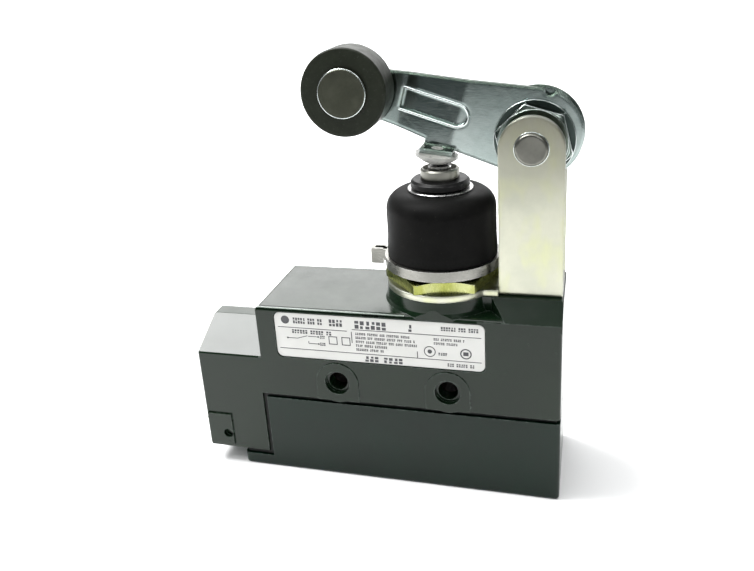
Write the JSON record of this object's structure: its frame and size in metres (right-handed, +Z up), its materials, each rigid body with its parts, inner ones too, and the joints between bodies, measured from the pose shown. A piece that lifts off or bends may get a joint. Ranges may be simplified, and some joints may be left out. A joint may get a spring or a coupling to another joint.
{
  "type": "limit switch",
  "caption": "Enclosed limit switch: die-cast box with conduit hub, side mounting holes, booted plunger and a bracketed roller lever that presses it.",
  "frame": {"origin": "where the plunger axis meets the enclosure's flat underside, at mid depth", "axes": "+Z up along the plunger axis, +X from the conduit hub towards the lever's pivot, +Y from the labelled front towards the back"},
  "size_m": [0.0877, 0.0262, 0.0989],
  "materials": {
    "housing_paint": "semi-gloss sprayed enamel on die-cast metal",
    "cover_paint": "semi-gloss sprayed enamel on die-cast metal",
    "gasket_rubber": "matte moulded rubber",
    "label_print": "printed film, satin",
    "screw_zinc": "bright zinc plate",
    "switch_phenolic": "moulded phenolic",
    "terminal_brass": "stamped brass",
    "bushing_steel": "turned steel",
    "spring_steel": "drawn spring wire",
    "bracket_zinc": "clear zinc plate, faintly cream",
    "yellow_chromate": "yellow chromate over zinc",
    "boot_rubber": "satin moulded rubber",
    "clamp_steel": "stamped plated steel",
    "pin_steel": "turned steel, satin",
    "lever_zinc": "bright zinc plate",
    "button_nylon": "pale hard wearing surface",
    "axle_steel": "turned steel, dulled face and bright rim",
    "roller_dark": "dark moulded or sintered roller, satin",
    "black_oxide": "black oxide",
    "pin_plastic": "moulded plastic",
    "blade_copper": "copper alloy strip with silver contacts"
  },
  "bodies": {
    "enclosure": {"housing": "housing_paint", "bottom_cover": "cover_paint", "cover_gasket": "gasket_rubber", "cover_screws": "screw_zinc", "nameplate": "label_print", "ground_screw": "screw_zinc", "switch_case": "switch_phenolic", "switch_lid": "switch_phenolic", "common_terminal": "terminal_brass", "no_terminal": "terminal_brass", "nc_terminal": "terminal_brass", "terminal_screws": "screw_zinc", "head_bushing": "bushing_steel", "stem_seal": "gasket_rubber", "retaining_ring": "spring_steel", "support_bracket": "bracket_zinc", "head_nut": "yellow_chromate", "rubber_boot": "boot_rubber", "boot_clamp": "clamp_steel", "return_spring": "spring_steel", "pivot_pin": "pin_steel", "pin_clip": "spring_steel"},
    "lever": {"pivot_bushing": "lever_zinc", "lever_nut": "lever_zinc", "lever_washer": "lever_zinc", "roller_arm": "lever_zinc", "hub_plate": "lever_zinc", "contact_button": "button_nylon", "roller_axle": "axle_steel", "roller_washer": "pin_steel"},
    "roller": {"roller": "roller_dark"},
    "plunger": {"plunger_stem": "pin_steel", "spring_seat": "pin_steel", "boot_washer": "pin_steel", "boot_nut": "black_oxide", "collar_nut": "pin_steel"},
    "actuator": {"plunger_cup": "button_nylon", "switch_pin": "pin_plastic", "overtravel_spring": "spring_steel"},
    "blade": {"moving_blade": "blade_copper", "snap_spring": "blade_copper"}
  },
  "joints": [
    {"name": "lever_swing", "type": "hinge", "parent": "enclosure", "child": "lever", "pos_m": [0.0197, 0, 0.0781], "axis": [0, -1, 0], "range_deg": [0, 12.5], "stiffness_Nm_per_rad": 0.25, "springref_deg": -20.05},
    {"name": "roller_spin", "type": "hinge", "parent": "lever", "child": "roller", "pos_m": [-0.01926, 0, 0.08949], "axis": [0, 1, 0], "continuous": true},
    {"name": "plunger_slide", "type": "slide", "parent": "enclosure", "child": "plunger", "axis": [0, 0, -1], "range_m": [0, 0.00432], "deforming": ["rubber_boot", "return_spring", "overtravel_spring"]},
    {"name": "actuator_slide", "type": "slide", "parent": "enclosure", "child": "actuator", "axis": [0, 0, -1], "range_m": [0, 0.000793]},
    {"name": "blade_swing", "type": "hinge", "parent": "enclosure", "child": "blade", "pos_m": [-0.03, 0, 0.032], "axis": [0, 1, 0], "range_deg": [0, 1.51]}
  ],
  "couplings": [
    {"joint": "plunger_slide", "follows": "lever_swing", "m_per_rad": 0.01978},
    {"joint": "actuator_slide", "follows": "lever_swing", "m_per_rad": 0.003636},
    {"joint": "blade_swing", "follows": "lever_swing", "ratio": 0.12116}
  ]
}
